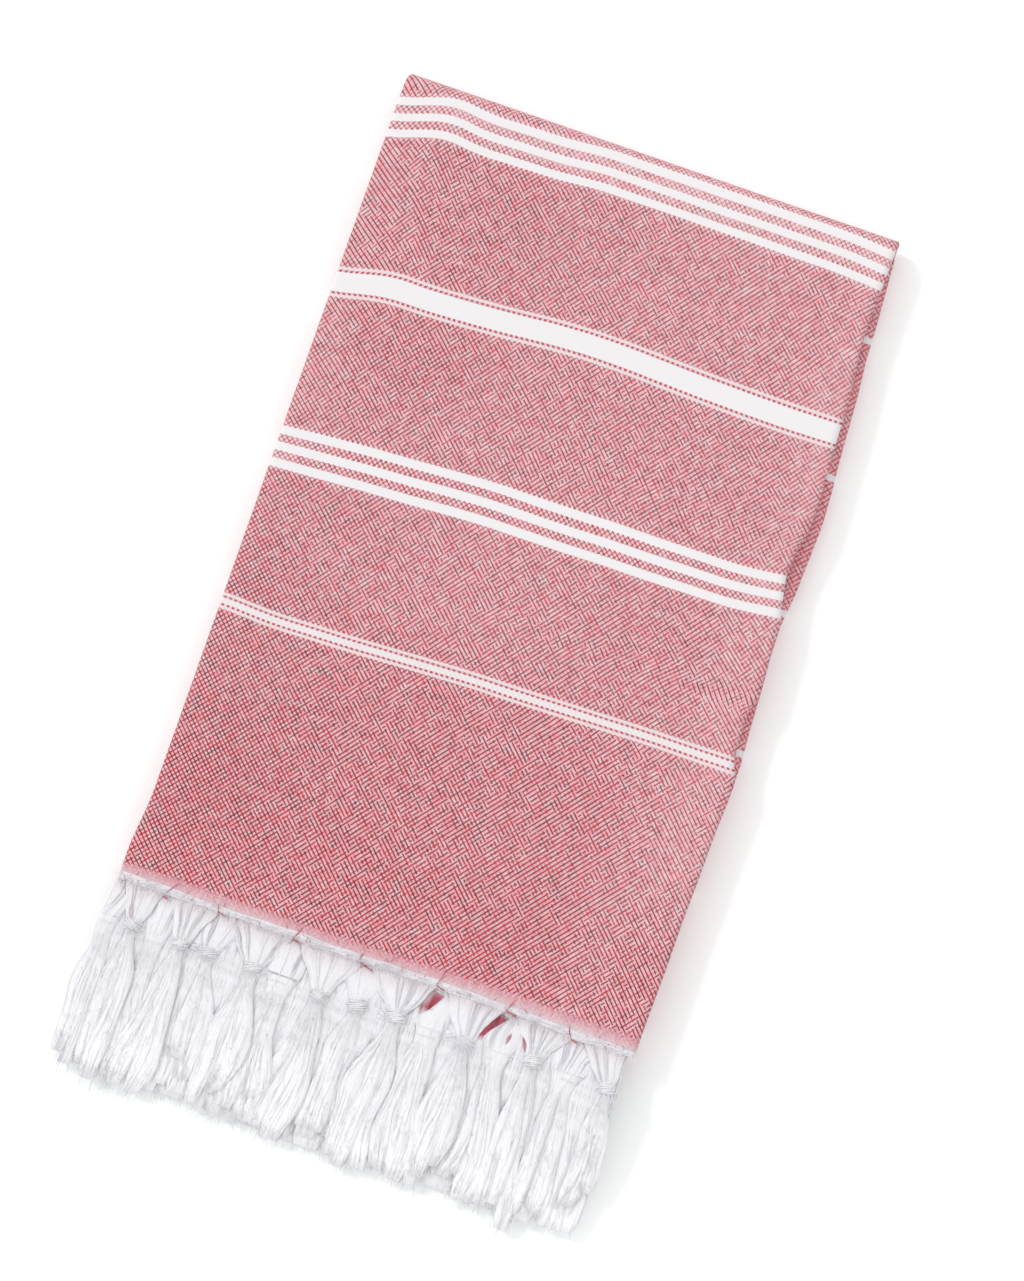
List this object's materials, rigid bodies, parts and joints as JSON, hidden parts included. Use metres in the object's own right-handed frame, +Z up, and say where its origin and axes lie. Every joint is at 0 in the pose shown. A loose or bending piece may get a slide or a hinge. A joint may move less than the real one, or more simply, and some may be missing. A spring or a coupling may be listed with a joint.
{
  "type": "folded hammam towel",
  "caption": "Flat-woven red and white striped cotton hammam towel with knotted white fringe, folded into a flat rectangular stack with the fringe out at one end.",
  "frame": {"origin": "middle of the folded cloth's underside, on the surface it rests on", "axes": "+Z up, +Y from the fringe to the top fold, +X to the open edge of the stack"},
  "size_m": [0.2637, 0.5086, 0.0246],
  "materials": {
    "striped_cotton": "matte hatched weave of red and pale cotton with white cross stripes",
    "fringe_yarn": "soft loosely twisted white cotton yarn"
  },
  "bodies": {
    "root": {"towel_cloth": "striped_cotton", "fringe_upper": "fringe_yarn", "fringe_lower": "fringe_yarn"}
  },
  "joints": []
}
